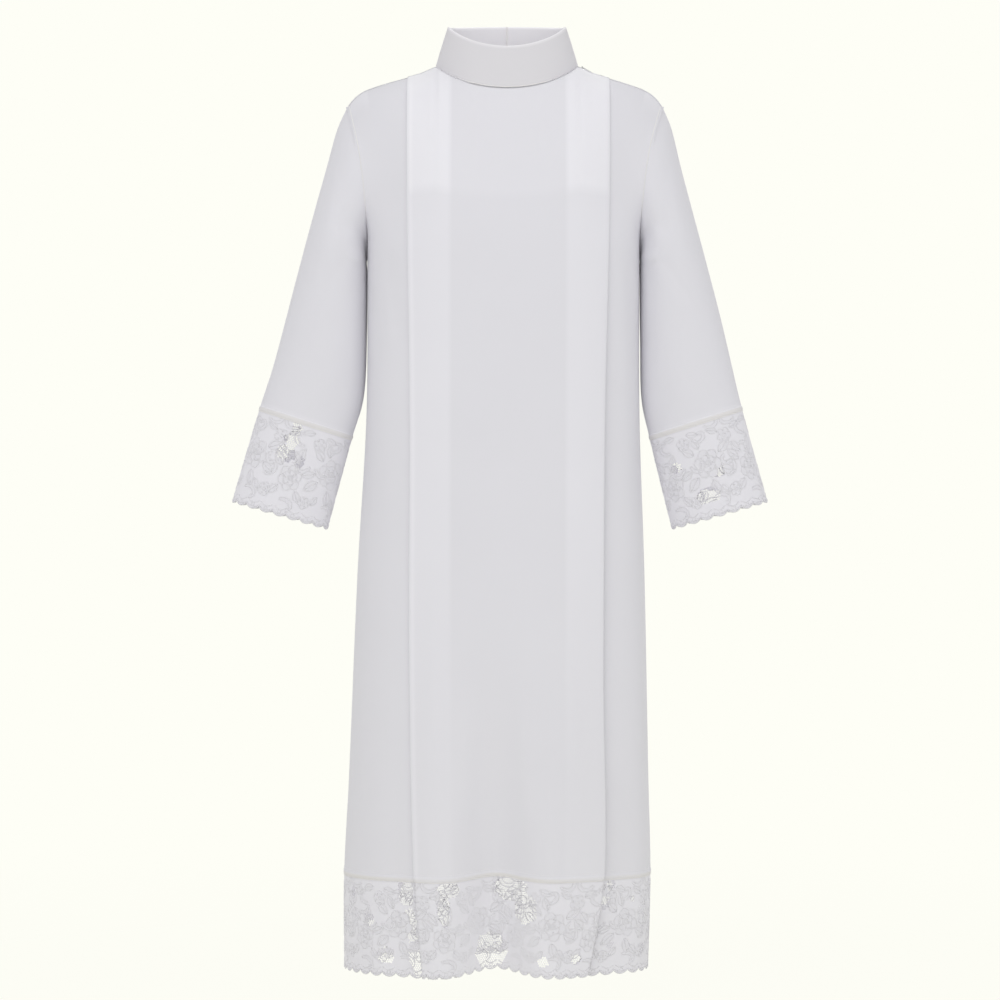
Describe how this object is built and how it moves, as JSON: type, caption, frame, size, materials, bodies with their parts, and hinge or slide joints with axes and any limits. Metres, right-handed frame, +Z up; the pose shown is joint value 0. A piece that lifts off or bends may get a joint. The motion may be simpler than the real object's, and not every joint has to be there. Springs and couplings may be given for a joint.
{
  "type": "alb",
  "caption": "Long white church robe, hollow as worn, with stand collar, front knife pleats, long sleeves, lace hem and cuffs, and a shoulder zip.",
  "frame": {"origin": "on the wearer's centre line between the shoulders, level with the foot of the collar", "axes": "+Z up the wearer, the front faces -Y, +X to the wearer's left"},
  "size_m": [0.8036, 0.3116, 1.4165],
  "materials": {
    "robe_cloth": "matte plain-weave cloth",
    "lace": "matte corded lace",
    "zip_tape": "matte woven tape",
    "zip_teeth": "satin",
    "zip_metal": "satin enamel"
  },
  "bodies": {
    "garment": {"front": "robe_cloth", "back": "robe_cloth", "front_facing": "robe_cloth", "sleeve_left": "robe_cloth", "sleeve_right": "robe_cloth", "cuff_lace_left_front": "lace", "cuff_lace_left_back": "lace", "cuff_lace_right_front": "lace", "cuff_lace_right_back": "lace", "hem_lace_front": "lace", "hem_lace_back": "lace", "collar_front": "robe_cloth", "collar_back": "robe_cloth", "zip_tape": "zip_tape", "zip_chain": "zip_teeth", "zip_slider": "zip_metal"},
    "pull_tab": {"zip_pull": "zip_metal"}
  },
  "joints": [
    {"name": "pull_tab_hinge", "type": "hinge", "parent": "garment", "child": "pull_tab", "pos_m": [0.11738, 0, 0.00713], "axis": [0, -1, 0], "range_deg": [0, 115]}
  ]
}
